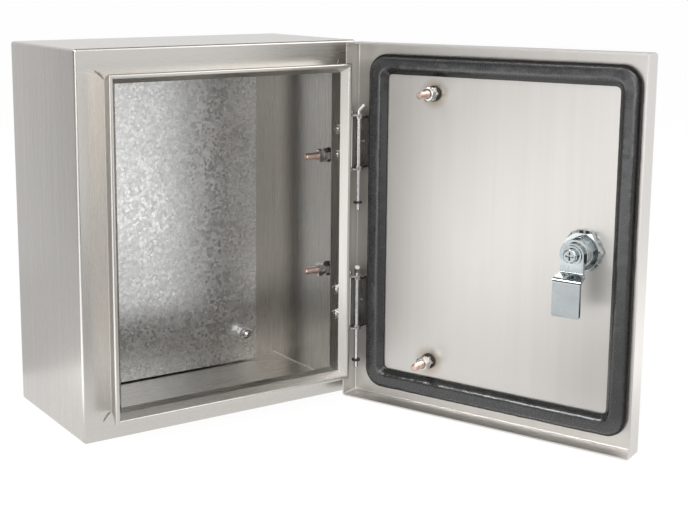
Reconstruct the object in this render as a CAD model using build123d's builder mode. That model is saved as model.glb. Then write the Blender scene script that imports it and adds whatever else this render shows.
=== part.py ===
from build123d import *
import os
from math import cos, radians, sin, tan

os.makedirs("parts", exist_ok=True)

# A small stainless wall cabinet, modelled with its door standing open.
# Frame: X to the right, Y to the wall, Z up, origin in the middle of the back face.

# Cabinet shell
width = 250.0
height = 300.0
body_depth = 126.5
sheet = 1.2
corner_radius = 2.5
shoulder_radius = 2.0
inner_fold_radius = 1.2
weld_fit = 0.05
overrun = 1.0

# Folded collar round the opening, measured inwards and forwards from the shoulder
lip_inset = 24.0
ridge_inset = 18.0
ridge_height = 20.5
ridge_flat = 2.4
rim_inset = 24.5
rim_height = 13.5
collar_fold_radius = 1.0
collar_overlap = 4.0

# Wall fixing holes in the back panel
wall_hole_radius = 4.25
wall_hole_side_inset = 40.0
wall_hole_end_inset = 14.0

# Mounting plate on its studs
plate_side_gap = 27.5
plate_end_gap = 2.5
plate_sheet = 2.0
plate_corner_radius = 3.0
plate_stud_side_inset = 16.5
plate_stud_end_inset = 27.5
plate_spacer_length = 9.0
plate_spacer_radius = 5.5
plate_stud_reach = 14.0

# Threaded studs, washers and nuts of one size all round the cabinet
stud_radius = 3.0
stud_tip_chamfer = 0.8
stud_hole_clearance = 0.3
washer_radius = 6.25
washer_sheet = 1.6
nut_flats = 10.0
nut_height = 5.0
nut_chamfer = 0.5
nut_pair_gap = 0.4
thread_clearance = 0.05

# Earthing studs on the right wall and on the door
earth_stud_length = 24.5
wall_earth_stud_back = 36.0
wall_earth_stud_spacing = 100.0
door_earth_stud_side_gap = 42.0
door_earth_stud_end_gap = 13.5

# Hinge axis and pins
hinge_inset = 8.5
hinge_forward = 16.5
hinge_spacing_share = 0.45
pin_radius = 2.0
pin_drop = 34.0
pin_rise = 3.0
pin_tail_reach = 4.6
pin_tail_rise = 4.6
pin_bend_radius = 2.6
pin_tip_chamfer = 0.7
upper_tail_angle = -31.0
lower_tail_angle = -121.0
running_clearance = 0.05
ring_radius = 3.5
ring_sheet = 1.6
ring_from_tip = 6.0

# Hinge leaves and their screws
leaf_height = 46.0
leaf_sheet = 1.5
leaf_gap = 0.3
leaf_boss_radius = 4.0
body_leaf_width = 10.5
body_leaf_start = 3.0
door_leaf_width = 10.0
door_leaf_offset = -1.0
door_leaf_hole_radius = 1.5
hinge_screw_spacing = 21.0
hinge_screw_radius = 2.0
hinge_screw_head_radius = 3.75
hinge_screw_head_height = 2.4
hinge_screw_head_fillet = 0.9
hinge_screw_end = 1.0
hinge_screw_clearance = 0.15
hinge_nut_flats = 7.0
hinge_nut_height = 3.2

# Door pan
door_open_angle = 112.0
door_gap_z = 1.0
door_flange_depth = 19.0
hinge_notch_margin = 2.0
hinge_notch_depth = 11.0

# Gasket
seal_gap = 0.3
gasket_width = 16.5
gasket_height = 6.5
gasket_margin = 9.0
gasket_hinge_margin = 13.5
gasket_corner_radius = 16.0
gasket_inner_corner_radius = 2.8
gasket_outer_round = 4.5
gasket_inner_round = 2.5

# Quarter-turn lock, fixed pieces
lock_from_free_edge = 48.5
lock_barrel_radius = 11.0
lock_hole_clearance = 0.25
lock_bore_radius = 7.0
lock_barrel_reach = 19.5
lock_head_radius = 15.0
lock_head_height = 5.0
lock_head_chamfer = 1.2
lock_recess_radius = 10.5
lock_recess_depth = 1.8
lock_seal_radius = 14.0
lock_seal_sheet = 1.5
lock_washer_radius = 15.4
lock_washer_sheet = 1.2
lock_washer_teeth = 20
lock_tooth_depth = 1.4
lock_tooth_gap = 1.6
lock_nut_flats = 28.0
lock_nut_height = 6.5
lock_nut_chamfer = 2.0
lock_nut_chamfer_angle = 30.0
hexagon_half_angle = 30.0

# Quarter-turn lock, turning pieces
cylinder_clearance = 0.08
cylinder_head_gap = 0.4
cylinder_head_sheet = 1.5
key_socket_radius = 4.8
key_socket_depth = 9.0
key_post_radius = 2.4
key_bit_length = 8.0
key_bit_sheet = 3.0
spindle_square = 8.0
spindle_clearance = 0.05
cam_running_gap = 0.3
cam_sheet = 3.0
cam_head_width = 18.0
cam_tail_width = 21.5
cam_reach = 45.0
cam_joggle_start = 14.0
cam_joggle_length = 4.0
cam_fold_radius = 2.0
cam_corner_radius = 1.5
cam_shoulder_gap = 0.4
cam_washer_radius = 7.5
cam_washer_sheet = 1.2
cam_screw_radius = 2.5
cam_screw_length = 9.0
cam_screw_head_radius = 5.5
cam_screw_head_height = 3.4
cam_screw_head_fillet = 1.4
cross_slot_length = 6.4
cross_slot_width = 1.3
cross_slot_depth = 1.6

# Sizes shared between pieces
stud_hole_radius = stud_radius + stud_hole_clearance
nut_bore_radius = stud_radius + thread_clearance
plate_width = width - 2 * plate_side_gap
plate_height = height - 2 * plate_end_gap
plate_stud_spacing_x = plate_width - 2 * plate_stud_side_inset
plate_stud_spacing_z = plate_height - 2 * plate_stud_end_inset
panel_forward = ridge_height + gasket_height + seal_gap
panel_drop = panel_forward - hinge_forward
face_drop = panel_drop + sheet
door_height = height - 2 * door_gap_z
door_mid = width / 2 - hinge_inset
hinge_x = width / 2 - hinge_inset
hinge_y = -body_depth - hinge_forward
hinge_spacing = height * hinge_spacing_share
upper_hinge_z = hinge_spacing / 2
lower_hinge_z = -hinge_spacing / 2
lock_along = width - hinge_inset - lock_from_free_edge
lock_hole_radius = lock_barrel_radius + lock_hole_clearance
cam_seat = lock_barrel_reach + cam_running_gap
cam_tail_seat = panel_forward + sheet + cam_shoulder_gap

# Door frame: local x runs from hinge to free edge, local y runs up, the normal points inside
door_along = Vector(-cos(radians(door_open_angle)), -sin(radians(door_open_angle)), 0)
door_inward = Vector(-sin(radians(door_open_angle)), cos(radians(door_open_angle)), 0)
door_frame = Plane(origin=(hinge_x, hinge_y, 0), x_dir=door_along, z_dir=door_inward)
door_inside = door_frame.offset(-panel_drop)
door_outside = door_frame.offset(-face_drop)
inward_axis = Axis((0, 0, 0), door_inward)

# Lip of the collar in section: inset from the side, then height off the shoulder
lip_foot = Vector(lip_inset, -sheet / 2)
lip_top = Vector(ridge_inset, ridge_height - sheet / 2)
lip_slope = (lip_top - lip_foot).normalized()
lip_outward = Vector(-lip_slope.Y, lip_slope.X)


def moved(plane, x, y, out=0):
    """The same plane with its origin at a local place."""
    return Plane(origin=plane.from_local_coords((x, y, out)), x_dir=plane.x_dir, z_dir=plane.z_dir)


def right_lip_place(along, out):
    """A place on the right lip, up from its foot and out from its outer face, from the hinge axis."""
    place = lip_foot + lip_slope * along + lip_outward * (sheet / 2 + out)
    return (hinge_inset - place.X, hinge_forward - place.Y)


def add_stud(plane, length):
    """One round stud with a chamfered tip."""
    with BuildSketch(plane) as outline:
        Circle(stud_radius)
    extrude(outline.sketch, amount=length)
    tip = edges(Select.LAST).sort_by(Axis(plane.origin, plane.z_dir)).last
    chamfer(tip, stud_tip_chamfer)


def add_ring(plane, outer_radius, inner_radius, thickness):
    """One flat washer or tube."""
    with BuildSketch(plane) as outline:
        Circle(outer_radius)
        Circle(inner_radius, mode=Mode.SUBTRACT)
    extrude(outline.sketch, amount=thickness)


def add_hex_nut(plane, flats, bore_radius, thickness):
    """One hexagon nut with its outer edges broken."""
    with BuildSketch(plane) as outline:
        RegularPolygon(flats / 2, 6, major_radius=False)
        Circle(bore_radius, mode=Mode.SUBTRACT)
    extrude(outline.sketch, amount=thickness)
    rim = edges(Select.LAST).filter_by(GeomType.LINE).group_by(Axis(plane.origin, plane.z_dir))[-1]
    chamfer(rim, nut_chamfer)


def write(piece, name):
    """Label a finished piece and write its file."""
    piece.part.label = name
    export_step(piece.part, f"parts/{name}.step")


# Folded shell: four walls and a flat front flange, with the collar folded up round the opening
collar_start = lip_inset - collar_overlap
flange_inset = lip_inset - collar_overlap / 2
path_x = width / 2 - lip_inset
path_z = height / 2 - lip_inset
screw_along = body_leaf_start + body_leaf_width / 2
screw_place = right_lip_place(screw_along, leaf_sheet)
screw_origin = (hinge_x + screw_place[0], hinge_y + screw_place[1])
lip_normal = (-lip_outward.X, -lip_outward.Y, 0)
screw_planes = []
for hinge_z in (upper_hinge_z, lower_hinge_z):
    for side in (-1, 1):
        screw_z = hinge_z + side * hinge_screw_spacing / 2
        screw_planes.append(Plane(origin=(*screw_origin, screw_z), x_dir=(0, 0, 1), z_dir=lip_normal))

collar_side = Plane(origin=(width / 2, -body_depth, 0), x_dir=(-1, 0, 0), z_dir=(0, 0, 1))
with BuildPart() as collar:
    with BuildLine(Plane.XZ.offset(body_depth)) as collar_path:
        Polyline((path_x, 0), (path_x, path_z), (-path_x, path_z), (-path_x, 0))
    with BuildSketch(collar_side) as collar_section:
        with BuildLine():
            FilletPolyline(
                (collar_start, -sheet / 2),
                (lip_inset, -sheet / 2),
                (ridge_inset, ridge_height - sheet / 2),
                (ridge_inset + ridge_flat, ridge_height - sheet / 2),
                (rim_inset, rim_height),
                radius=collar_fold_radius,
            )
        trace(line_width=sheet)
    sweep(collar_section.sketch, path=collar_path.wires()[0], transition=Transition.RIGHT)
    mirror(about=Plane.XY)

with BuildPart() as body_wrap:
    with BuildSketch(Plane.XZ):
        RectangleRounded(width, height, corner_radius)
    extrude(amount=body_depth)
    fillet(faces().sort_by(Axis.Y).first.edges(), shoulder_radius)
    with BuildSketch(Plane.XZ):
        RectangleRounded(width - 2 * sheet, height - 2 * sheet, corner_radius - sheet)
    extrude(amount=body_depth - sheet, mode=Mode.SUBTRACT)
    fillet(edges(Select.LAST).group_by(Axis.Y)[0], inner_fold_radius)
    with BuildSketch(Plane.XZ.offset(body_depth + overrun)):
        Rectangle(width - 2 * flange_inset, height - 2 * flange_inset)
    extrude(amount=-sheet - 2 * overrun, mode=Mode.SUBTRACT)
    add(collar.part)
    for plane in screw_planes:
        with BuildSketch(plane):
            Circle(hinge_screw_radius + hinge_screw_clearance)
        extrude(amount=-leaf_sheet - sheet - overrun, mode=Mode.SUBTRACT)
write(body_wrap, "body_wrap")

# Back panel welded into the wrap, with the four wall holes
with BuildPart() as back_panel:
    with BuildSketch(Plane.XZ):
        RectangleRounded(
            width - 2 * (sheet + weld_fit), height - 2 * (sheet + weld_fit), corner_radius - sheet
        )
        with GridLocations(width - 2 * wall_hole_side_inset, height - 2 * wall_hole_end_inset, 2, 2):
            Circle(wall_hole_radius, mode=Mode.SUBTRACT)
    extrude(amount=sheet)
write(back_panel, "back_panel")

# Studs welded to the back panel, tubes that hold the plate off it, and the flat plate
plate_back = sheet + plate_spacer_length
plate_front = plate_back + plate_sheet
stud_places = [
    (x * plate_stud_spacing_x / 2, z * plate_stud_spacing_z / 2) for x in (-1, 1) for z in (-1, 1)
]
with BuildPart() as plate_studs:
    for x, z in stud_places:
        add_stud(moved(Plane.XZ, x, z, sheet), plate_spacer_length + plate_sheet + plate_stud_reach)
write(plate_studs, "plate_studs")

with BuildPart() as plate_spacers:
    for x, z in stud_places:
        add_ring(moved(Plane.XZ, x, z, sheet), plate_spacer_radius, stud_hole_radius, plate_spacer_length)
write(plate_spacers, "plate_spacers")

with BuildPart() as mounting_plate:
    with BuildSketch(Plane.XZ.offset(plate_back)):
        RectangleRounded(plate_width, plate_height, plate_corner_radius)
        with GridLocations(plate_stud_spacing_x, plate_stud_spacing_z, 2, 2):
            Circle(stud_hole_radius, mode=Mode.SUBTRACT)
    extrude(amount=plate_sheet)
write(mounting_plate, "mounting_plate")

with BuildPart() as plate_washers:
    for x, z in stud_places:
        add_ring(moved(Plane.XZ, x, z, plate_front), washer_radius, stud_hole_radius, washer_sheet)
write(plate_washers, "plate_washers")

first_nut = washer_sheet
second_nut = washer_sheet + nut_height + nut_pair_gap
with BuildPart() as plate_nuts:
    for x, z in stud_places:
        for seat in (first_nut, second_nut):
            add_hex_nut(moved(Plane.XZ, x, z, plate_front + seat), nut_flats, nut_bore_radius, nut_height)
write(plate_nuts, "plate_nuts")

# Earthing studs welded to the right wall
wall_earth_planes = [
    Plane(
        origin=(width / 2 - sheet, -body_depth + wall_earth_stud_back, side * wall_earth_stud_spacing / 2),
        x_dir=(0, 0, 1),
        z_dir=(-1, 0, 0),
    )
    for side in (-1, 1)
]

# Earthing studs welded to the inside of the door
door_earth_along = gasket_hinge_margin + gasket_width + door_earth_stud_side_gap - hinge_inset
door_earth_height = door_height / 2 - gasket_margin - gasket_width - door_earth_stud_end_gap
door_earth_planes = [moved(door_inside, door_earth_along, side * door_earth_height) for side in (-1, 1)]

for owner, planes in (("wall", wall_earth_planes), ("door", door_earth_planes)):
    with BuildPart() as earth_studs:
        for plane in planes:
            add_stud(plane, earth_stud_length)
    write(earth_studs, f"{owner}_earth_studs")

    with BuildPart() as earth_washers:
        for plane in planes:
            add_ring(plane, washer_radius, stud_hole_radius, washer_sheet)
    write(earth_washers, f"{owner}_earth_washers")

    with BuildPart() as earth_nuts:
        for plane in planes:
            for seat in (first_nut, second_nut):
                add_hex_nut(plane.offset(seat), nut_flats, nut_bore_radius, nut_height)
    write(earth_nuts, f"{owner}_earth_nuts")

# Hinges: a leaf on the lip, a leaf on the door between its arms, and a bent pull-out pin
door_leaf_height = leaf_height - 2 * (leaf_sheet + leaf_gap)
pin_hole_radius = pin_radius + running_clearance
body_leaf_end = body_leaf_start + body_leaf_width
body_leaf_foot = [
    right_lip_place(body_leaf_start, 0),
    right_lip_place(body_leaf_end, 0),
    right_lip_place(body_leaf_end, leaf_sheet),
    right_lip_place(body_leaf_start, leaf_sheet),
]
door_leaf_near = door_leaf_offset - door_leaf_width / 2
door_leaf_far = door_leaf_offset + door_leaf_width / 2
door_leaf_foot = [
    (door_leaf_near, panel_drop),
    (door_leaf_near, panel_drop - leaf_sheet),
    (door_leaf_far, panel_drop - leaf_sheet),
    (door_leaf_far, panel_drop),
]

for place, hinge_z, tail_angle in (
    ("upper", upper_hinge_z, upper_tail_angle),
    ("lower", lower_hinge_z, lower_tail_angle),
):
    hinge_plan = Plane(origin=(hinge_x, hinge_y, hinge_z))
    door_plan = Plane(origin=(hinge_x, hinge_y, hinge_z), x_dir=door_along)

    with BuildPart() as body_leaf:
        with BuildSketch(hinge_plan.offset(-leaf_height / 2)):
            Polygon(*body_leaf_foot, align=None)
        extrude(amount=leaf_height)
        for arm_z in (-leaf_height / 2, leaf_height / 2 - leaf_sheet):
            with BuildSketch(hinge_plan.offset(arm_z)):
                Polygon(*body_leaf_foot, align=None)
                Circle(leaf_boss_radius)
                make_hull()
            extrude(amount=leaf_sheet)
        with BuildSketch(hinge_plan.offset(-leaf_height / 2)):
            Circle(pin_hole_radius)
        extrude(amount=leaf_height, mode=Mode.SUBTRACT)
        for plane in screw_planes:
            with BuildSketch(plane):
                Circle(hinge_screw_radius + hinge_screw_clearance)
            extrude(amount=-leaf_sheet, mode=Mode.SUBTRACT)
    write(body_leaf, f"hinge_body_leaf_{place}")

    with BuildPart() as door_leaf:
        with BuildSketch(door_plan.offset(-door_leaf_height / 2)):
            Polygon(*door_leaf_foot, align=None)
        extrude(amount=door_leaf_height)
        for arm_z in (-door_leaf_height / 2, door_leaf_height / 2 - leaf_sheet):
            with BuildSketch(door_plan.offset(arm_z)):
                Polygon(*door_leaf_foot, align=None)
                Circle(leaf_boss_radius)
                make_hull()
            extrude(amount=leaf_sheet)
        with BuildSketch(door_plan.offset(-door_leaf_height / 2)):
            Circle(pin_hole_radius)
        extrude(amount=door_leaf_height, mode=Mode.SUBTRACT)
        with BuildSketch(moved(door_inside, door_leaf_offset, hinge_z)):
            Circle(door_leaf_hole_radius)
        extrude(amount=leaf_sheet, mode=Mode.SUBTRACT)
    write(door_leaf, f"hinge_door_leaf_{place}")

    tail_way = Vector(cos(radians(tail_angle)), sin(radians(tail_angle)), 0)
    tail_plane = Plane(
        origin=(hinge_x, hinge_y, hinge_z), x_dir=tail_way, z_dir=tail_way.cross(Vector(0, 0, 1))
    )
    pin_foot = -leaf_height / 2 - pin_drop
    pin_bend = leaf_height / 2 + pin_rise
    with BuildPart() as hinge_pin:
        with BuildLine(tail_plane) as pin_line:
            FilletPolyline(
                (0, pin_foot),
                (0, pin_bend),
                (pin_tail_reach, pin_bend + pin_tail_rise),
                radius=pin_bend_radius,
            )
        with BuildSketch(hinge_plan.offset(pin_foot)):
            Circle(pin_radius)
        sweep(path=pin_line.wires()[0])
        chamfer(edges().filter_by(GeomType.CIRCLE).sort_by(Axis.Z).first, pin_tip_chamfer)
    write(hinge_pin, f"hinge_pin_{place}")

with BuildPart() as pin_rings:
    for hinge_z in (upper_hinge_z, lower_hinge_z):
        ring_z = hinge_z - leaf_height / 2 - pin_drop + ring_from_tip
        add_ring(Plane(origin=(hinge_x, hinge_y, ring_z)), ring_radius, pin_hole_radius, ring_sheet)
write(pin_rings, "pin_rings")

with BuildPart() as hinge_screws:
    for plane in screw_planes:
        with BuildSketch(plane):
            Circle(hinge_screw_head_radius)
        extrude(amount=hinge_screw_head_height)
        fillet(edges(Select.LAST).sort_by(Axis(plane.origin, plane.z_dir)).last, hinge_screw_head_fillet)
        with BuildSketch(plane):
            Circle(hinge_screw_radius)
        extrude(amount=-leaf_sheet - sheet - hinge_nut_height - hinge_screw_end)
write(hinge_screws, "hinge_screws")

with BuildPart() as hinge_nuts:
    for plane in screw_planes:
        nut_seat = Plane(origin=plane.offset(-leaf_sheet - sheet).origin, x_dir=(0, 0, 1), z_dir=-plane.z_dir)
        add_hex_nut(nut_seat, hinge_nut_flats, hinge_screw_radius + thread_clearance, hinge_nut_height)
write(hinge_nuts, "hinge_nuts")

# Door: a folded pan with the hinge-side flange cut away at each hinge, and the lock hole
with BuildPart() as door_panel:
    with BuildSketch(moved(door_outside, door_mid, 0)):
        RectangleRounded(width, door_height, corner_radius)
    extrude(amount=door_flange_depth)
    fillet(faces().sort_by(inward_axis).first.edges(), shoulder_radius)
    with BuildSketch(moved(door_inside, door_mid, 0)):
        RectangleRounded(width - 2 * sheet, door_height - 2 * sheet, corner_radius - sheet)
    extrude(amount=door_flange_depth, mode=Mode.SUBTRACT)
    fillet(edges(Select.LAST).group_by(inward_axis)[0], inner_fold_radius)
    with BuildSketch(moved(door_outside, -hinge_inset, 0, door_flange_depth - hinge_notch_depth)):
        with GridLocations(0, hinge_spacing, 1, 2):
            Rectangle(2 * sheet + 2 * overrun, leaf_height + 2 * hinge_notch_margin)
    extrude(amount=hinge_notch_depth + overrun, mode=Mode.SUBTRACT)
    with BuildSketch(moved(door_outside, lock_along, 0)):
        Circle(lock_hole_radius)
    extrude(amount=sheet, mode=Mode.SUBTRACT)
write(door_panel, "door_panel")

# Foamed gasket: broad round corners outside, tight ones inside, a rounded back
gasket_outer_width = width - gasket_hinge_margin - gasket_margin
gasket_outer_height = door_height - 2 * gasket_margin
gasket_mid = door_mid + (gasket_hinge_margin - gasket_margin) / 2
with BuildPart() as gasket:
    with BuildSketch(moved(door_inside, gasket_mid, 0)):
        RectangleRounded(gasket_outer_width, gasket_outer_height, gasket_corner_radius)
        RectangleRounded(
            gasket_outer_width - 2 * gasket_width,
            gasket_outer_height - 2 * gasket_width,
            gasket_inner_corner_radius,
            mode=Mode.SUBTRACT,
        )
    extrude(amount=gasket_height)
    crown = faces().sort_by(inward_axis).last
    fillet(crown.outer_wire().edges(), gasket_outer_round)
    crown = faces().sort_by(inward_axis).last
    fillet(crown.inner_wires()[0].edges(), gasket_inner_round)
write(gasket, "gasket")

# Lock housing: round head outside, threaded barrel through the door, bore for the cylinder
lock_face = moved(door_outside, lock_along, 0)
lock_seat = moved(door_inside, lock_along, 0)
lock_front = lock_face.offset(-lock_seal_sheet - lock_head_height)
with BuildPart() as lock_housing:
    with BuildSketch(lock_front):
        Circle(lock_head_radius)
    extrude(amount=lock_head_height)
    chamfer(edges().sort_by(inward_axis).first, lock_head_chamfer)
    with BuildSketch(lock_face.offset(-lock_seal_sheet)):
        Circle(lock_barrel_radius)
    extrude(amount=lock_seal_sheet + sheet + lock_barrel_reach)
    with BuildSketch(lock_front):
        Circle(lock_recess_radius)
    extrude(amount=lock_recess_depth, mode=Mode.SUBTRACT)
    with BuildSketch(lock_front):
        Circle(lock_bore_radius)
    extrude(amount=lock_head_height + lock_seal_sheet + sheet + lock_barrel_reach, mode=Mode.SUBTRACT)
write(lock_housing, "lock_housing")

with BuildPart() as lock_seal:
    add_ring(lock_face.offset(-lock_seal_sheet), lock_seal_radius, lock_hole_radius, lock_seal_sheet)
write(lock_seal, "lock_seal")

with BuildPart() as lock_washer:
    with BuildSketch(lock_seat):
        Circle(lock_washer_radius)
        Circle(lock_hole_radius, mode=Mode.SUBTRACT)
        with PolarLocations(lock_washer_radius, lock_washer_teeth):
            Rectangle(2 * lock_tooth_depth, lock_tooth_gap, mode=Mode.SUBTRACT)
    extrude(amount=lock_washer_sheet)
write(lock_washer, "lock_washer")

nut_corner_radius = lock_nut_flats / 2 / cos(radians(hexagon_half_angle))
nut_chamfer_drop = lock_nut_chamfer * tan(radians(lock_nut_chamfer_angle))
lock_nut_plane = lock_seat.offset(lock_washer_sheet)
nut_section = Plane(origin=lock_nut_plane.origin, x_dir=door_along, z_dir=door_along.cross(door_inward))
with BuildPart() as lock_nut:
    with BuildSketch(lock_nut_plane):
        RegularPolygon(lock_nut_flats / 2, 6, major_radius=False)
        Circle(lock_barrel_radius + thread_clearance, mode=Mode.SUBTRACT)
    extrude(amount=lock_nut_height)
    with BuildSketch(nut_section):
        Polygon(
            (0, 0),
            (nut_corner_radius, 0),
            (nut_corner_radius, lock_nut_height - nut_chamfer_drop),
            (nut_corner_radius - lock_nut_chamfer, lock_nut_height),
            (0, lock_nut_height),
            align=None,
        )
    revolve(axis=Axis(lock_nut_plane.origin, door_inward), mode=Mode.INTERSECT)
write(lock_nut, "lock_nut")

# Lock cylinder: a flat head in the recess, a socket with a two-winged post, a square for the cam
cylinder_front = lock_front.offset(lock_recess_depth - cylinder_head_sheet)
cylinder_radius = lock_bore_radius - cylinder_clearance
cylinder_seat_depth = lock_head_height - lock_recess_depth + lock_seal_sheet + sheet
cylinder_length = cylinder_head_sheet + cylinder_seat_depth + cam_seat
with BuildPart() as lock_cylinder:
    with BuildSketch(cylinder_front):
        Circle(lock_recess_radius - cylinder_head_gap)
    extrude(amount=cylinder_head_sheet)
    with BuildSketch(cylinder_front):
        Circle(cylinder_radius)
    extrude(amount=cylinder_length)
    with BuildSketch(cylinder_front):
        Circle(key_socket_radius)
        Circle(key_post_radius, mode=Mode.SUBTRACT)
        Rectangle(key_bit_length, key_bit_sheet, mode=Mode.SUBTRACT)
    extrude(amount=key_socket_depth, mode=Mode.SUBTRACT)
    with BuildSketch(lock_seat.offset(cam_seat)):
        Rectangle(spindle_square, spindle_square)
    extrude(amount=cam_sheet)
    with BuildSketch(lock_seat.offset(cam_seat + cam_sheet)):
        Circle(cam_screw_radius + thread_clearance)
    extrude(amount=-cam_screw_length - overrun, mode=Mode.SUBTRACT)
write(lock_cylinder, "lock_cylinder")

# Cam: a joggled strip, round at the spindle and broader at the catch, hanging straight down
cam_head_mid = cam_seat + cam_sheet / 2
cam_tail_mid = cam_tail_seat + cam_sheet / 2
cam_joggle_end = cam_joggle_start + cam_joggle_length
cam_section = Plane(origin=lock_seat.origin, x_dir=(0, 0, -1), z_dir=-door_along)
with BuildPart() as lock_cam:
    with BuildSketch(cam_section):
        with BuildLine():
            FilletPolyline(
                (-cam_head_width / 2, cam_head_mid),
                (cam_joggle_start, cam_head_mid),
                (cam_joggle_end, cam_tail_mid),
                (cam_reach, cam_tail_mid),
                radius=cam_fold_radius,
            )
        trace(line_width=cam_sheet)
    extrude(amount=cam_tail_width / 2, both=True)
    with BuildSketch(lock_seat):
        Circle(cam_head_width / 2)
        with Locations((0, -cam_joggle_start / 2)):
            Rectangle(cam_head_width, cam_joggle_start)
        with Locations((0, -(cam_joggle_start + cam_reach) / 2)):
            RectangleRounded(cam_tail_width, cam_reach - cam_joggle_start, cam_corner_radius)
    extrude(amount=cam_tail_seat + cam_sheet + overrun, mode=Mode.INTERSECT)
    with BuildSketch(lock_seat):
        Rectangle(spindle_square + 2 * spindle_clearance, spindle_square + 2 * spindle_clearance)
    extrude(amount=cam_seat + cam_sheet + overrun, mode=Mode.SUBTRACT)
write(lock_cam, "lock_cam")

# Screw and washer that hold the cam on its square
cam_washer_plane = lock_seat.offset(cam_seat + cam_sheet)
cam_head_plane = cam_washer_plane.offset(cam_washer_sheet)
with BuildPart() as cam_washer:
    add_ring(cam_washer_plane, cam_washer_radius, cam_screw_radius + stud_hole_clearance, cam_washer_sheet)
write(cam_washer, "cam_washer")

with BuildPart() as cam_screw:
    with BuildSketch(cam_head_plane):
        Circle(cam_screw_head_radius)
    extrude(amount=cam_screw_head_height)
    fillet(edges().sort_by(inward_axis).last, cam_screw_head_fillet)
    with BuildSketch(cam_head_plane.offset(cam_screw_head_height)):
        Rectangle(cross_slot_length, cross_slot_width)
        Rectangle(cross_slot_width, cross_slot_length)
    extrude(amount=-cross_slot_depth, mode=Mode.SUBTRACT)
    with BuildSketch(cam_head_plane):
        Circle(cam_screw_radius)
    extrude(amount=-cam_washer_sheet - cam_screw_length)
write(cam_screw, "cam_screw")
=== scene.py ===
import bpy
import bmesh
import math
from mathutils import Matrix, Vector, noise


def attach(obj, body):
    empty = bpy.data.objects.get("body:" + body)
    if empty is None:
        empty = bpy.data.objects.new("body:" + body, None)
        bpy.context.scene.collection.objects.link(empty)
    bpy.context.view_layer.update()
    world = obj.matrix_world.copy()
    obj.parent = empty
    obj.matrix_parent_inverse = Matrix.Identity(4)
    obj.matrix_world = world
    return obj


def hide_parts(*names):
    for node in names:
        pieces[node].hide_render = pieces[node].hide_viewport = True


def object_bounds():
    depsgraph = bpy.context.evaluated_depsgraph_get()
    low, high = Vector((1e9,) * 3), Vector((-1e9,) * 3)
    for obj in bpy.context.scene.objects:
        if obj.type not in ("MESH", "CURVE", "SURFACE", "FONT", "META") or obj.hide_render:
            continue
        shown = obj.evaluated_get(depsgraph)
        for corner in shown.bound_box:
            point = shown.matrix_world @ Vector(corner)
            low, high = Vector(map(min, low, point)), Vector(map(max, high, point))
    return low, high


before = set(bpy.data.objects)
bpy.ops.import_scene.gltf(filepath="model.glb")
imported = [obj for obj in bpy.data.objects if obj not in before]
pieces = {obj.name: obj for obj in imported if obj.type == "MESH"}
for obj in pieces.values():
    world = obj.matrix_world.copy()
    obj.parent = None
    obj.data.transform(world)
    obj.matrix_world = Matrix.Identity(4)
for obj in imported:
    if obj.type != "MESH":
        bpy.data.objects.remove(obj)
cad_low, cad_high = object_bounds()
scene = bpy.context.scene
scene.view_settings.view_transform = "Standard"


# The shell is one stainless sheet folded round into four walls and a front flange, with the
# collar of the opening folded up from the flange and welded at its four mitred corners.
# The brushing runs round the wrap: up the sides and across the top and the underside.
stainless_colour = (0.575, 0.557, 0.53)
stainless_roughness = 0.28
flange_line = 0.1265
scratch_fine, scratch_long, scratch_detail = 1500.0, 16.0, 3.0
band_fine, band_long, band_detail = 150.0, 3.0, 2.0


def start_finish(name, colour, metallic, roughness):
    finish = bpy.data.materials.new(name)
    finish.use_nodes = True
    shader = finish.node_tree.nodes["Principled BSDF"]
    shader.inputs["Base Color"].default_value = (*colour, 1)
    shader.inputs["Metallic"].default_value = metallic
    shader.inputs["Roughness"].default_value = roughness
    return finish, shader


def add_node(finish, kind, **settings):
    made = finish.node_tree.nodes.new(kind)
    for key, value in settings.items():
        setattr(made, key, value)
    return made


def join(finish, source, target):
    finish.node_tree.links.new(source, target)


def place_on_piece(finish, stretch, turn=0.0):
    where = add_node(finish, "ShaderNodeTexCoord")
    turned = add_node(finish, "ShaderNodeMapping")
    turned.inputs["Rotation"].default_value = (0, 0, turn)
    scaled = add_node(finish, "ShaderNodeMapping")
    scaled.inputs["Scale"].default_value = stretch
    join(finish, where.outputs["Object"], turned.inputs["Vector"])
    join(finish, turned.outputs["Vector"], scaled.inputs["Vector"])
    return scaled.outputs["Vector"]


def grain(finish, stretch, detail=4.0, turn=0.0, rough=0.6):
    pattern = add_node(finish, "ShaderNodeTexNoise")
    pattern.inputs["Scale"].default_value = 1.0
    pattern.inputs["Detail"].default_value = detail
    pattern.inputs["Roughness"].default_value = rough
    join(finish, place_on_piece(finish, stretch, turn), pattern.inputs["Vector"])
    return pattern.outputs["Fac"]


def spread(finish, source, low, high, to_low, to_high):
    level = add_node(finish, "ShaderNodeMapRange")
    level.inputs["From Min"].default_value = low
    level.inputs["From Max"].default_value = high
    level.inputs["To Min"].default_value = to_low
    level.inputs["To Max"].default_value = to_high
    join(finish, source, level.inputs["Value"])
    return level.outputs["Result"]


def tones(finish, source, *stops):
    scale = add_node(finish, "ShaderNodeValToRGB")
    ramp = scale.color_ramp
    while len(ramp.elements) < len(stops):
        ramp.elements.new(0.5)
    for element, (place, colour) in zip(ramp.elements, stops):
        element.position = place
        element.color = (*colour, 1)
    join(finish, source, scale.inputs["Fac"])
    return scale.outputs["Color"]


def blend_colour(finish, amount, first, second):
    mixed = add_node(finish, "ShaderNodeMix", data_type="RGBA", blend_type="MIX")
    for name, value in (("Factor", amount), ("A", first), ("B", second)):
        sockets = [s for s in mixed.inputs if s.name == name and s.enabled]
        if isinstance(value, (int, float)):
            sockets[0].default_value = value
        elif isinstance(value, tuple):
            sockets[0].default_value = (*value, 1)
        else:
            join(finish, value, sockets[0])
    return [s for s in mixed.outputs if s.enabled][0]


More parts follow.
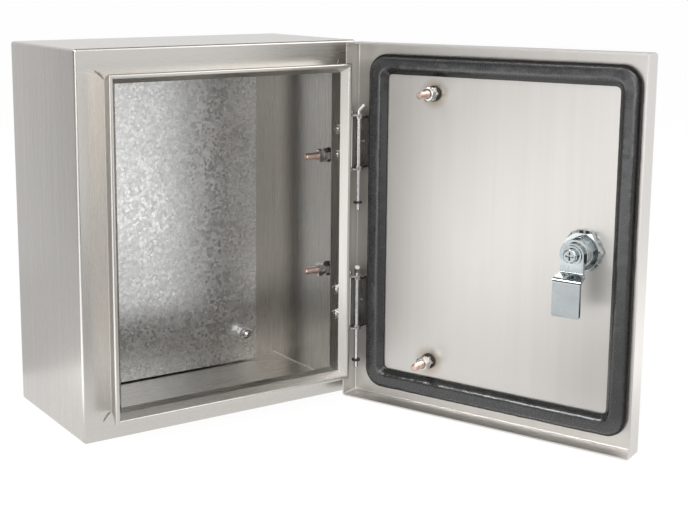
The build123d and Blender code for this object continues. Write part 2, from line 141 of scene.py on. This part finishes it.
def raise_surface(finish, shader, source, strength, distance):
    relief = add_node(finish, "ShaderNodeBump")
    relief.inputs["Strength"].default_value = strength
    relief.inputs["Distance"].default_value = distance
    join(finish, source, relief.inputs["Height"])
    join(finish, relief.outputs["Normal"], shader.inputs["Normal"])


def arithmetic(finish, way, first, second):
    sum_node = add_node(finish, "ShaderNodeMath", operation=way)
    for socket, value in zip(sum_node.inputs, (first, second)):
        if isinstance(value, (int, float)):
            socket.default_value = value
        else:
            join(finish, value, socket)
    return sum_node.outputs["Value"]


def brushed_stainless(
    name, turn=0.0, colour=stainless_colour, roughness=stainless_roughness, streak=0.03, wrapped=False
):
    finish, shader = start_finish(name, colour, 1.0, roughness)
    scratches = grain(finish, (scratch_fine, scratch_fine, scratch_long), scratch_detail, turn)
    bands = grain(finish, (band_fine, band_fine, band_long), band_detail, turn)
    if wrapped:
        where = add_node(finish, "ShaderNodeTexCoord")
        facing_way = add_node(finish, "ShaderNodeSeparateXYZ")
        join(finish, where.outputs["Normal"], facing_way.inputs["Vector"])
        place = add_node(finish, "ShaderNodeSeparateXYZ")
        join(finish, where.outputs["Object"], place.inputs["Vector"])
        level = arithmetic(finish, "ABSOLUTE", facing_way.outputs["Z"], 0.0)
        flat_face = spread(finish, level, 0.55, 0.75, 0.0, 1.0)
        height = arithmetic(finish, "ABSOLUTE", place.outputs["Z"], 0.0)
        strip_low, strip_high = flange_line - 0.0005, flange_line + 0.0005
        cross_strip = spread(finish, height, strip_low, strip_high, 0.0, 1.0)
        forward = spread(finish, facing_way.outputs["Y"], -0.55, -0.75, 0.0, 1.0)
        cross_flange = arithmetic(finish, "MULTIPLY", cross_strip, forward)
        across = arithmetic(finish, "MAXIMUM", flat_face, cross_flange)
        level_scratches = grain(finish, (scratch_long, scratch_fine, scratch_fine), scratch_detail)
        level_bands = grain(finish, (band_long, band_fine, band_fine), band_detail)
        scratches = blend_colour(finish, across, scratches, level_scratches)
        bands = blend_colour(finish, across, bands, level_bands)
    handled = grain(finish, (9.0, 9.0, 7.0), 5.0)
    dark = tuple((1.0 - streak) * c for c in colour)
    light = tuple(min(1.0, (1.0 + 0.6 * streak) * c) for c in colour)
    streaks = tones(finish, bands, (0.3, dark), (0.7, light))
    warm = (colour[0], colour[1] * 0.98, colour[2] * 0.95)
    touched = spread(finish, handled, 0.42, 0.7, 0.0, 0.6)
    join(finish, blend_colour(finish, touched, streaks, warm), shader.inputs["Base Color"])
    rough_low, rough_high = roughness - 0.025, roughness + 0.035
    sheen = spread(finish, scratches, 0.3, 0.7, rough_low, rough_high)
    join(finish, sheen, shader.inputs["Roughness"])
    raise_surface(finish, shader, scratches, 0.035, 0.0002)
    return finish


def dress(finish, *names):
    for name in names:
        for slot in pieces[name].material_slots:
            slot.material = finish


shell_finish = brushed_stainless("shell_brushed_stainless", wrapped=True)
dress(shell_finish, "body_wrap")


# The mitred corners of the flange are welded and ground flush, all but a short scar that the
# grinder can't reach beside the foot of the collar. Heat has left it dull and brown.
weld_foot = Vector((0.1022, -0.1265, 0.1272))
weld_length, weld_width, weld_height = 0.0100, 0.0009, 0.00055
weld_ripple, weld_uneven, weld_wander = 0.18, 0.25, 0.0005
weld_steps, weld_around = 26, 12
weld_colour, weld_dark, weld_pale = (0.24, 0.22, 0.195), (0.13, 0.11, 0.09), (0.36, 0.335, 0.30)
smooth_angle = math.radians(35.0)
weld_finish, weld_shader = start_finish("corner_weld_scar", weld_colour, 1.0, 0.38)
scale_tone = grain(weld_finish, (700.0, 700.0, 700.0), 4.0)
weld_brown = tones(weld_finish, scale_tone, (0.3, weld_dark), (0.7, weld_pale))
join(weld_finish, weld_brown, weld_shader.inputs["Base Color"])
weld_dull = spread(weld_finish, scale_tone, 0.3, 0.7, 0.28, 0.5)
join(weld_finish, weld_dull, weld_shader.inputs["Roughness"])


def make_piece(name, mesh, finish, body):
    bmesh.ops.recalc_face_normals(mesh, faces=mesh.faces)
    data = bpy.data.meshes.new(name)
    mesh.to_mesh(data)
    mesh.free()
    data.materials.append(finish)
    made = bpy.data.objects.new(name, data)
    scene.collection.objects.link(made)
    data.shade_smooth()
    data.set_sharp_from_angle(angle=smooth_angle)
    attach(made, body)
    return made


weld_mesh = bmesh.new()
for side, end in ((-1, -1), (-1, 1), (1, -1), (1, 1)):
    start = Vector((side * weld_foot.x, weld_foot.y, end * weld_foot.z))
    run = Vector((side, 0, end)).normalized()
    cross = Vector((end, 0, -side)).normalized()
    rings = []
    for step in range(1, weld_steps):
        share = step / weld_steps
        ripple = 1.0 + weld_ripple * math.sin(share * 40.0)
        ripple += weld_uneven * noise.noise((share * 5.0, side, end))
        swell = math.sqrt(1.0 - (2.0 * share - 1.0) ** 2) * ripple
        place = start + run * (weld_length * share) + cross * (weld_wander * math.sin(share * 4.0))
        ring = []
        for k in range(weld_around):
            angle = 2 * math.pi * k / weld_around
            across = cross * (weld_width * swell * math.cos(angle))
            rise = Vector((0, weld_height * swell * math.sin(angle), 0))
            ring.append(weld_mesh.verts.new(place + across + rise))
        rings.append(ring)
    for first, second in zip(rings, rings[1:]):
        for k in range(weld_around):
            n = (k + 1) % weld_around
            weld_mesh.faces.new((first[k], first[n], second[n], second[k]))
    for ring, place in ((rings[0], start), (rings[-1], start + run * weld_length)):
        tip = weld_mesh.verts.new(place)
        for k in range(weld_around):
            weld_mesh.faces.new((ring[k], ring[(k + 1) % weld_around], tip))
make_piece("flange_corner_welds", weld_mesh, weld_finish, "cabinet")


# The back panel is a flat sheet of the same stainless, welded inside the wrap.
# Its brushing runs upright and the four wall holes are punched near its corners.
back_finish = brushed_stainless("back_brushed_stainless")
dress(back_finish, "back_panel")


# The mounting plate stands on four threaded studs welded to the back panel. Each stud is bright
# zinc-plated steel with a rolled thread and a chamfered tip, and a zinc tube spaces the plate off.
stud_core, stud_crest, stud_pitch = 0.00262, 0.0030, 0.001
stud_tip = 0.0008
rod_sides = 32
thread_root, thread_flat = 0.42, 0.08
zinc_colour = (0.64, 0.64, 0.63)
pressed_wave = 50.0


def threaded_rod(mesh, base, way, length, core, crest, pitch, tip):
    way = Vector(way).normalized()
    side = way.orthogonal().normalized()
    other = way.cross(side)
    around = rod_sides

    def point(radius, angle, height):
        out = side * math.cos(angle) + other * math.sin(angle)
        return base + way * height + out * radius

    rings = []
    for radius, height in ((core, 0.0), (core, length - tip), (core - tip, length)):
        angles = [2 * math.pi * k / around for k in range(around)]
        rings.append([mesh.verts.new(point(radius, angle, height)) for angle in angles])
    for low, high in zip(rings, rings[1:]):
        for k in range(around):
            mesh.faces.new((low[k], low[(k + 1) % around], high[(k + 1) % around], high[k]))
    mesh.faces.new(list(reversed(rings[0])))
    mesh.faces.new(rings[-1])
    turns = (length - tip - pitch) / pitch
    steps = int(turns * around)
    sunk = core - thread_flat * pitch
    rows = []
    for k in range(steps + 1):
        angle = 2 * math.pi * k / around
        height = pitch / 2 + pitch * k / around
        rise = min(1.0, k / around * 2, (steps - k) / around * 2)
        top = sunk + (crest - sunk) * rise
        profile = ((sunk, -thread_root), (top, -thread_flat), (top, thread_flat), (sunk, thread_root))
        rows.append([mesh.verts.new(point(r, angle, height + h * pitch)) for r, h in profile])
    for low, high in zip(rows, rows[1:]):
        for a, b in ((0, 1), (1, 2), (2, 3), (3, 0)):
            mesh.faces.new((low[a], low[b], high[b], high[a]))
    mesh.faces.new(rows[0])
    mesh.faces.new(list(reversed(rows[-1])))


def bright_zinc(name, colour=zinc_colour, roughness=0.20, cloud_depth=0.15, wave=0.0):
    finish, shader = start_finish(name, colour, 1.0, roughness)
    cloud = grain(finish, (420.0, 420.0, 420.0), 4.0)
    dark = tuple((1.0 - cloud_depth) * c for c in colour)
    light = tuple(min(1.0, (1.0 + 0.5 * cloud_depth) * c) for c in colour)
    join(finish, tones(finish, cloud, (0.32, dark), (0.68, light)), shader.inputs["Base Color"])
    sheen = spread(finish, cloud, 0.3, 0.7, 0.7 * roughness, 1.4 * roughness)
    join(finish, sheen, shader.inputs["Roughness"])
    if wave:
        pressed = grain(finish, (pressed_wave, pressed_wave, pressed_wave), 0.0)
        raise_surface(finish, shader, pressed, wave, 0.001)
    else:
        raise_surface(finish, shader, cloud, 0.3 * cloud_depth, 0.0001)
    return finish


def seats_of(node, way):
    solid = bmesh.new()
    solid.from_mesh(pieces[node].data)
    bmesh.ops.remove_doubles(solid, verts=solid.verts, dist=1e-6)
    seats, seen = [], set()
    for start in solid.verts:
        if start in seen:
            continue
        seen.add(start)
        group, edge = [start], [start]
        while edge:
            for link in edge.pop().link_edges:
                for vert in link.verts:
                    if vert not in seen:
                        seen.add(vert)
                        group.append(vert)
                        edge.append(vert)
        places = [v.co for v in group]
        ends = [p.dot(way) for p in places]
        length = max(ends) - min(ends)
        low_corner = Vector([min(p[k] for p in places) for k in range(3)])
        high_corner = Vector([max(p[k] for p in places) for k in range(3)])
        centre = (low_corner + high_corner) / 2
        seats.append((centre - way * (length / 2), length))
    solid.free()
    return seats


def studs_on(node, way, body, finish):
    way = Vector(way)
    mesh = bmesh.new()
    for base, length in seats_of(node, way):
        threaded_rod(mesh, base, way, length, stud_core, stud_crest, stud_pitch, stud_tip)
    made = make_piece(node + "_threaded", mesh, finish, body)
    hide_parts(node)


zinc_finish = bright_zinc("bright_zinc_plate")
studs_on("plate_studs", (0, -1, 0), "cabinet", zinc_finish)
dress(zinc_finish, "plate_spacers")


# The mounting plate is flat hot-dip galvanised steel, drilled for its four studs and clamped on
# them. Its zinc skin is a fine spangle of small crystals in many greys, with cloudy patches.
crystal_size, speck_size, patch_size = 380.0, 520.0, 45.0
galvanised_colour = (0.62, 0.625, 0.62)
spangle_dark, spangle_light = (0.54, 0.55, 0.55), (0.97, 0.97, 0.96)
speckle_dark, speckle_light = (0.48, 0.49, 0.49), (0.98, 0.98, 0.97)
mottle_dark, mottle_light = (0.70, 0.705, 0.70), (0.88, 0.88, 0.865)
galvanised_finish, galvanised = start_finish("galvanised_spangle", galvanised_colour, 0.9, 0.3)
crystals = add_node(galvanised_finish, "ShaderNodeTexVoronoi")
crystals.inputs["Scale"].default_value = 1.0
crystal_place = place_on_piece(galvanised_finish, (crystal_size, crystal_size, crystal_size))
join(galvanised_finish, crystal_place, crystals.inputs["Vector"])
crystal_tone = add_node(galvanised_finish, "ShaderNodeSeparateColor")
join(galvanised_finish, crystals.outputs["Color"], crystal_tone.inputs["Color"])
specks = grain(galvanised_finish, (speck_size, speck_size, speck_size), 5.0, rough=0.75)
patches = grain(galvanised_finish, (patch_size, patch_size, patch_size), 6.0, rough=0.7)
spangle = tones(
    galvanised_finish, crystal_tone.outputs["Red"], (0.0, spangle_dark), (1.0, spangle_light)
)
speckle = tones(galvanised_finish, specks, (0.30, speckle_dark), (0.70, speckle_light))
mottle = tones(galvanised_finish, patches, (0.3, mottle_dark), (0.7, mottle_light))
crystal_skin = blend_colour(galvanised_finish, 0.5, spangle, speckle)
zinc_skin = blend_colour(galvanised_finish, 0.25, crystal_skin, mottle)
join(galvanised_finish, zinc_skin, galvanised.inputs["Base Color"])
crystal_sheen = spread(galvanised_finish, crystal_tone.outputs["Green"], 0.0, 1.0, 0.20, 0.36)
join(galvanised_finish, crystal_sheen, galvanised.inputs["Roughness"])
raise_surface(galvanised_finish, galvanised, crystal_tone.outputs["Blue"], 0.22, 0.0004)
dress(galvanised_finish, "mounting_plate")


# Each stud of the plate carries a bright zinc washer and two hexagon nuts, one locking the other.
# The nuts are turned from bar, so a cone breaks their corners at both faces and at the bore.
nut_flats, nut_bore = 0.010, 0.00308
nut_face = 0.00475
nut_bore_break = 0.0006
nut_cone = math.tan(math.radians(30.0))
nut_sides, nut_steps = 6, 72
lock_nut_turn = math.radians(21.0)


def turned_nut(mesh, base, way, corner, height, turn):
    other = way.cross(corner)
    side_angle = 2 * math.pi / nut_sides
    wide = nut_bore + nut_bore_break
    bore_low, bore_high = nut_bore_break, height - nut_bore_break
    inside = ((wide, height), (nut_bore, bore_high), (nut_bore, bore_low), (wide, 0.0))
    columns = []
    for k in range(nut_steps):
        angle = 2 * math.pi * k / nut_steps
        edge = nut_flats / 2 / math.cos(angle % side_angle - side_angle / 2)
        drop = (edge - nut_face) * nut_cone
        outside = ((nut_face, 0.0), (edge, drop), (edge, height - drop), (nut_face, height))
        out = corner * math.cos(angle + turn) + other * math.sin(angle + turn)
        columns.append([mesh.verts.new(base + out * r + way * h) for r, h in outside + inside])
    for first, second in zip(columns, columns[1:] + columns[:1]):
        for k in range(len(first)):
            n = (k + 1) % len(first)
            mesh.faces.new((first[k], second[k], second[n], first[n]))


def nuts_on(node, way, corner, body):
    way, corner = Vector(way), Vector(corner)
    mesh = bmesh.new()
    seats = seats_of(node, way)
    heights = [base.dot(way) for base, length in seats]
    middle = (min(heights) + max(heights)) / 2
    for (base, length), height in zip(seats, heights):
        turned_nut(mesh, base, way, corner, length, lock_nut_turn if height > middle else 0.0)
    made = make_piece(node + "_turned", mesh, zinc_finish, body)
    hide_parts(node)


dress(zinc_finish, "plate_washers")
nuts_on("plate_nuts", (0, -1, 0), (1, 0, 0), "cabinet")


# Two earthing studs are welded to the right wall. Each has a black washer at its foot
# and two zinc nuts, and its copper-plated end stands clear for the earth wire.
copper_colour = (0.72, 0.54, 0.47)
copper_dark, copper_pale = (0.46, 0.30, 0.23), (0.82, 0.70, 0.64)
fibre_colour = (0.022, 0.022, 0.023)
fibre_dark, fibre_pale = (0.012, 0.012, 0.013), (0.045, 0.045, 0.046)


def copper_plate(name):
    finish, shader = start_finish(name, copper_colour, 1.0, 0.32)
    stain = grain(finish, (240.0, 240.0, 240.0), 5.0)
    tint = tones(finish, stain, (0.28, copper_dark), (0.5, copper_colour), (0.72, copper_pale))
    join(finish, tint, shader.inputs["Base Color"])
    join(finish, spread(finish, stain, 0.3, 0.7, 0.24, 0.46), shader.inputs["Roughness"])
    raise_surface(finish, shader, stain, 0.15, 0.0001)
    return finish


copper_finish = copper_plate("stud_copper_plate")
studs_on("wall_earth_studs", (-1, 0, 0), "cabinet", copper_finish)
black_finish, black = start_finish("black_fibre_washer", fibre_colour, 0.0, 0.55)
fibre = grain(black_finish, (900.0, 900.0, 900.0), 5.0)
fibre_tone = tones(black_finish, fibre, (0.35, fibre_dark), (0.7, fibre_pale))
join(black_finish, fibre_tone, black.inputs["Base Color"])
join(black_finish, spread(black_finish, fibre, 0.3, 0.7, 0.45, 0.68), black.inputs["Roughness"])
raise_surface(black_finish, black, fibre, 0.2, 0.0001)
dress(black_finish, "wall_earth_washers")
nuts_on("wall_earth_nuts", (-1, 0, 0), (0, 0, 1), "cabinet")


# Each hinge is a stainless leaf screwed through the lip, a second leaf welded to the door
# and a bent stainless pin dropped through both. A black ring holds the pin near its foot.
# Painted shade: the leaves take a darker copy of the shell's stainless colour.
leaf_painted_shade_colour, leaf_roughness = (0.42, 0.41, 0.395), 0.26
pin_colour = (0.72, 0.715, 0.70)
leaf_finish = brushed_stainless("hinge_leaf_stainless", colour=leaf_painted_shade_colour, roughness=leaf_roughness)
dress(leaf_finish, "hinge_body_leaf_upper", "hinge_body_leaf_lower")
dress(leaf_finish, "hinge_door_leaf_upper", "hinge_door_leaf_lower")
pin_finish = bright_zinc("bright_drawn_pin", pin_colour)
dress(pin_finish, "hinge_pin_upper", "hinge_pin_lower", "hinge_screws")
dress(zinc_finish, "hinge_nuts")
dress(black_finish, "pin_rings")


# The door is a stainless pan with a flange all round, brushed upright. The heat of stud welding
# has left a small tan ring round each earthing stud on its inner face.
door_open = math.radians(112.0)
door_along = Vector((-math.cos(door_open), -math.sin(door_open), 0))
door_inward = Vector((-math.sin(door_open), math.cos(door_open), 0))
door_turn = door_open - math.pi
hinge_axis = Vector((0.1165, -0.143, 0))
panel_depth = 0.0108
stud_reach, stud_heights = 0.0635, (-0.110, 0.110)
stud_line = hinge_axis + door_along * stud_reach - door_inward * panel_depth
stud_places = [stud_line + Vector((0, 0, height)) for height in stud_heights]
# Painted light: the door takes a lighter copy of the shell's stainless colour.
door_painted_light_colour, door_roughness = (0.66, 0.64, 0.617), 0.38
tan_colour, tan_depth = (0.40, 0.32, 0.22), 0.75
tan_inner, tan_outer = 0.0060, 0.0135
door_finish = brushed_stainless(
    "door_brushed_stainless", door_turn, door_painted_light_colour, door_roughness, streak=0.025
)
door_shader = door_finish.node_tree.nodes["Principled BSDF"]
door_shade = door_shader.inputs["Base Color"].links[0].from_socket


def halo(finish, centre, inner, outer):
    where = add_node(finish, "ShaderNodeTexCoord")
    gap = add_node(finish, "ShaderNodeVectorMath", operation="DISTANCE")
    gap.inputs[1].default_value = centre
    join(finish, where.outputs["Object"], gap.inputs[0])
    return spread(finish, gap.outputs["Value"], inner, outer, 1.0, 0.0)


def facing(finish, way, low, high):
    where = add_node(finish, "ShaderNodeTexCoord")
    lean = add_node(finish, "ShaderNodeVectorMath", operation="DOT_PRODUCT")
    lean.inputs[1].default_value = way
    join(finish, where.outputs["Normal"], lean.inputs[0])
    return spread(finish, lean.outputs["Value"], low, high, 0.0, 1.0)


inner_face = facing(door_finish, door_inward, 0.3, 0.7)
tan_strength = arithmetic(door_finish, "MULTIPLY", inner_face, tan_depth)
for place in stud_places:
    ring = halo(door_finish, place, tan_inner, tan_outer)
    tint = arithmetic(door_finish, "MULTIPLY", ring, tan_strength)
    door_shade = blend_colour(door_finish, tint, door_shade, tan_colour)
join(door_finish, door_shade, door_shader.inputs["Base Color"])
dress(door_finish, "door_panel")


# The door's two earthing studs match those on the wall. Each is a copper-plated thread welded to
# the inner face, with a black washer at its foot and two zinc nuts.
studs_on("door_earth_studs", door_inward, "door", copper_finish)
dress(black_finish, "door_earth_washers")
nuts_on("door_earth_nuts", door_inward, door_along, "door")


# The gasket is a black foamed bead laid on the door, with broad corners outside and tight ones
# inside. Its inner side slopes down to the door, and its skin is smooth, a little shiny and
# slightly uneven from foaming. Its crown keeps the foam's grey, while its sides and slopes are
# painted near-black as painted shade.
foam_colour, foam_side_painted_shade = (0.06, 0.061, 0.062), (0.008, 0.008, 0.008)
foam_dark, foam_light = (0.024, 0.025, 0.026), (0.038, 0.039, 0.040)
foam_dust = (0.055, 0.055, 0.055)
foam_step, foam_wave, foam_shine = 0.0012, 0.00022, 0.9
bead_width, bead_height, bead_corner = 0.0165, 0.0065, 0.0028
slope_width, slope_foot = 0.0044, 0.18
soften_passes, wave_foot = 4, 0.003
foam_finish, foam = start_finish("black_foam_skin", foam_colour, 0.0, 0.42)
foam.inputs["Specular IOR Level"].default_value = foam_shine
cells = grain(foam_finish, (1300.0, 1300.0, 1300.0), 5.0)
waves = grain(foam_finish, (70.0, 70.0, 70.0), 4.0)
crown_tone = tones(foam_finish, cells, (0.32, foam_dark), (0.72, foam_light))
dust = spread(foam_finish, waves, 0.5, 0.75, 0.0, 0.5)
dusty = blend_colour(foam_finish, dust, crown_tone, foam_dust)
# Painted shade: every face but the crown, which faces out from the door, takes the near-black side colour.
crown_vs_painted_shade = facing(foam_finish, door_inward, 0.70, 0.94)
foam_tone_with_painted_shade = blend_colour(foam_finish, crown_vs_painted_shade, foam_side_painted_shade, dusty)
join(foam_finish, foam_tone_with_painted_shade, foam.inputs["Base Color"])
join(foam_finish, spread(foam_finish, cells, 0.3, 0.7, 0.22, 0.30), foam.inputs["Roughness"])
raise_surface(foam_finish, foam, cells, 0.03, 0.0003)
bead = bpy.data.objects.new("gasket_bead", pieces["gasket"].data.copy())
scene.collection.objects.link(bead)
remesh = bead.modifiers.new("even_mesh", "REMESH")
remesh.mode = "VOXEL"
remesh.voxel_size = foam_step
even = bpy.data.meshes.new_from_object(bead.evaluated_get(bpy.context.evaluated_depsgraph_get()))
bead.modifiers.clear()
bead.data = even
even.materials.clear()
even.materials.append(foam_finish)
bpy.context.view_layer.update()
along_reach = [(v.co - hinge_axis).dot(door_along) for v in even.vertices]
up_reach = [v.co.z for v in even.vertices]
along_mid = (min(along_reach) + max(along_reach)) / 2
up_mid = (min(up_reach) + max(up_reach)) / 2
inner_along = (max(along_reach) - min(along_reach)) / 2 - bead_width
inner_up = (max(up_reach) - min(up_reach)) / 2 - bead_width


def from_inner_edge(place):
    across = abs((place - hinge_axis).dot(door_along) - along_mid) - inner_along + bead_corner
    up = abs(place.z - up_mid) - inner_up + bead_corner
    return math.hypot(max(across, 0.0), max(up, 0.0)) + min(max(across, up), 0.0) - bead_corner


smooth = bmesh.new()
smooth.from_mesh(even)
for vert in smooth.verts:
    depth = (vert.co - hinge_axis).dot(door_inward) + panel_depth
    share = min(1.0, max(0.0, from_inner_edge(vert.co) / slope_width))
    top = bead_height * (slope_foot + (1.0 - slope_foot) * share)
    if depth > top:
        vert.co -= door_inward * (depth - top)
for turn in range(soften_passes):
    bmesh.ops.smooth_vert(
        smooth, verts=smooth.verts, factor=0.5, use_axis_x=True, use_axis_y=True, use_axis_z=True
    )
smooth.normal_update()
for vert in smooth.verts:
    depth = (vert.co - hinge_axis).dot(door_inward) + panel_depth
    share = min(1.0, max(0.0, depth / wave_foot))
    swell = noise.noise(vert.co * 90.0) + 0.5 * noise.noise(vert.co * 260.0)
    vert.co += vert.normal * (foam_wave * swell * share)
smooth.to_mesh(even)
smooth.free()
even.shade_smooth()
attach(bead, "door")
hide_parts("gasket")


# The lock is a bright plated quarter-turn: its housing is clamped through the door by a
# hexagon nut on a toothed washer, with a rubber seal under the round head outside.
lock_colour, lock_roughness = (0.47, 0.505, 0.515), 0.10
lock_reach, barrel_from, barrel_length = 0.193, 0.0080, 0.0112
barrel_core, barrel_crest, barrel_pitch, barrel_tip = 0.01085, 0.01122, 0.0015, 0.0002
lock_finish = bright_zinc("bright_lock_plate", lock_colour, lock_roughness, cloud_depth=0.05, wave=0.4)
dress(lock_finish, "lock_housing", "lock_washer", "lock_nut")
# The seal takes the foam skin, so its faces, turned from the door's inner side, are painted near-black as
# painted shade.
dress(foam_finish, "lock_seal")
lock_centre = hinge_axis + door_along * lock_reach - door_inward * panel_depth
barrel_base = lock_centre + door_inward * barrel_from
barrel_thread = bmesh.new()
threaded_rod(
    barrel_thread,
    barrel_base,
    door_inward,
    barrel_length,
    barrel_core,
    barrel_crest,
    barrel_pitch,
    barrel_tip,
)
make_piece("lock_barrel_thread", barrel_thread, lock_finish, "door")


# The turning half of the lock is the key cylinder with a joggled strip cam on its square,
# held by a washer and a cross-slotted screw.
dress(lock_finish, "lock_cylinder", "lock_cam", "cam_washer", "cam_screw")


# The studio is a white floor and a white surround that metal also sees, with soft lamps above.
# Grey and bright cards round the cabinet, seen in mirror images alone, give its metal the
# darker and lighter parts that a photographer's cards would.
floor_glow, floor_seen = 1.06, 0.88
sky_hidden, sky_seen = 0.45, 1.0


def seen_white(tree):
    path = tree.nodes.new("ShaderNodeLightPath")
    first = tree.nodes.new("ShaderNodeMath")
    first.operation = "MAXIMUM"
    tree.links.new(path.outputs["Is Camera Ray"], first.inputs[0])
    tree.links.new(path.outputs["Is Glossy Ray"], first.inputs[1])
    both = tree.nodes.new("ShaderNodeMath")
    both.operation = "MAXIMUM"
    tree.links.new(first.outputs[0], both.inputs[0])
    tree.links.new(path.outputs["Is Transmission Ray"], both.inputs[1])
    return both.outputs[0]


surround = bpy.data.worlds.new("white_surround")
scene.world = surround
surround.use_nodes = True
sky = surround.node_tree.nodes["Background"]
sky.inputs["Color"].default_value = (1, 1, 1, 1)
sky_level = surround.node_tree.nodes.new("ShaderNodeMapRange")
sky_level.inputs["To Min"].default_value = sky_hidden
sky_level.inputs["To Max"].default_value = sky_seen
surround.node_tree.links.new(seen_white(surround.node_tree), sky_level.inputs["Value"])
surround.node_tree.links.new(sky_level.outputs["Result"], sky.inputs["Strength"])


def flat_sheet(name, corners, finish):
    sheet_mesh = bmesh.new()
    sheet_mesh.faces.new([sheet_mesh.verts.new(c) for c in corners])
    data = bpy.data.meshes.new(name)
    sheet_mesh.to_mesh(data)
    sheet_mesh.free()
    data.materials.append(finish)
    made = bpy.data.objects.new(name, data)
    scene.collection.objects.link(made)
    return made


floor_finish, floor_shader = start_finish("white_floor", (0.92, 0.92, 0.92), 0.0, 0.9)
floor_tree = floor_finish.node_tree
glow = add_node(floor_finish, "ShaderNodeEmission")
glow.inputs["Color"].default_value = (1, 1, 1, 1)
glow.inputs["Strength"].default_value = floor_glow
floor_mix = add_node(floor_finish, "ShaderNodeMixShader")
floor_share = arithmetic(floor_finish, "MULTIPLY", seen_white(floor_tree), floor_seen)
join(floor_finish, floor_share, floor_mix.inputs["Fac"])
join(floor_finish, floor_shader.outputs["BSDF"], floor_mix.inputs[1])
join(floor_finish, glow.outputs["Emission"], floor_mix.inputs[2])
join(floor_finish, floor_mix.outputs["Shader"], floor_tree.nodes["Material Output"].inputs["Surface"])
floor_z = cad_low.z - 0.0002
reach = 60.0


def level_sheet(outline, height):
    return [(x, y, height) for x, y in outline]


floor_outline = [(-reach, -reach), (reach, -reach), (reach, reach), (-reach, reach)]
flat_sheet("studio_floor", level_sheet(floor_outline, floor_z), floor_finish)


def mirror_card(name, corners, level):
    finish = bpy.data.materials.new(name)
    finish.use_nodes = True
    light = add_node(finish, "ShaderNodeEmission")
    light.inputs["Strength"].default_value = level
    join(finish, light.outputs["Emission"], finish.node_tree.nodes["Material Output"].inputs["Surface"])
    card = flat_sheet(name, corners, finish)
    for sight in ("camera", "diffuse", "transmission", "volume_scatter", "shadow"):
        setattr(card, "visible_" + sight, False)


ceiling_z, low_card_z = 1.5, floor_z + 0.001
for name, height, level, outline in (
    ("dark_ceiling", ceiling_z, 0.05, [(-0.15, 0.0), (2.2, 0.0), (2.2, 1.5), (-0.15, 1.5)]),
    ("dark_ceiling_end", ceiling_z, 0.05, [(-0.9, -0.5), (-0.15, -0.5), (-0.15, 0.6), (-0.9, 0.6)]),
    ("edge_strip_card", ceiling_z, 10.0, [(-1.6, -0.35), (-0.92, -0.35), (-0.92, 0.12), (-1.6, 0.12)]),
    ("side_floor_card", low_card_z, 0.72, [(-0.75, 0.06), (-0.14, 0.06), (-0.14, 0.45), (-0.75, 0.45)]),
    ("left_floor_card", low_card_z, 0.1, [(-1.8, -2.2), (-0.2, -2.2), (-0.2, -0.62), (-1.8, -0.62)]),
    (
        "bright_floor_card",
        low_card_z,
        2.0,
        [(-1.7, -0.55), (-0.78, -0.55), (-0.52, -0.28), (-0.2, -0.28), (-0.2, 0.05), (-1.7, 0.05)],
    ),
    (
        "front_floor_card",
        low_card_z,
        0.55,
        [(-0.2, -1.0), (0.2, -1.0), (0.2, -0.46), (0.11, -0.3), (-0.2, -0.3)],
    ),
    (
        "right_floor_card",
        low_card_z,
        1.7,
        [(0.24, -1.0), (0.75, -1.0), (0.75, -0.35), (0.42, -0.35), (0.24, -0.5)],
    ),
):
    mirror_card(name, level_sheet(outline, height), level)
card_y, far_x = 0.45, -1.9
for name, left, right, top, level in (
    ("side_card", -1.6, -0.42, 0.7, 0.2),
    ("side_near_card", -0.42, -0.1, 0.5, 0.83),
):
    corners = [(left, card_y, floor_z), (right, card_y, floor_z), (right, card_y, top), (left, card_y, top)]
    mirror_card(name, corners, level)
far_corners = [(far_x, -0.5, -0.05), (far_x, 0.6, -0.05), (far_x, 0.6, 0.8), (far_x, -0.5, 0.8)]
mirror_card("far_left_card", far_corners, 0.08)


def soft_lamp(name, place, aim, size, power):
    lamp = bpy.data.lights.new(name, "AREA")
    lamp.shape = "RECTANGLE"
    lamp.size, lamp.size_y = size
    lamp.energy = power
    made = bpy.data.objects.new(name, lamp)
    scene.collection.objects.link(made)
    made.location = place
    made.rotation_mode = "QUATERNION"
    made.rotation_quaternion = (Vector(aim) - Vector(place)).to_track_quat("-Z", "Y")
    made.visible_camera = False


soft_lamp("key_lamp", (-1.1, -1.5, 1.5), (0.0, -0.15, 0.0), (1.2, 1.2), 13.0)
soft_lamp("left_lamp", (-0.95, -0.8, 0.1), (0.0, -0.2, 0.0), (0.5, 0.5), 1.6)
soft_lamp("edge_lamp", (-1.25, -0.08, 1.5), (0.15, -0.3, 0.0), (0.45, 0.45), 9.0)
soft_lamp("right_lamp", (1.2, -1.4, 1.4), (0.0, -0.15, 0.1), (0.8, 0.8), 6.0)


# The camera stands to the left of the open front and a little above it, as the photographer's
# did. Its shift frames the part as in the photograph.
camera_place = (-0.4884, -0.9779, 0.2051)
camera_down, camera_round = 9.91, -31.91
camera_data = bpy.data.cameras.new("camera")
camera_data.sensor_width = 36.0
camera_data.lens = 66.16
camera_data.shift_x = 0.1070
camera_data.shift_y = -0.1047
camera = bpy.data.objects.new("camera", camera_data)
scene.collection.objects.link(camera)
camera.location = camera_place
camera.rotation_euler = (math.radians(90.0 - camera_down), 0.0, math.radians(camera_round))
scene.camera = camera
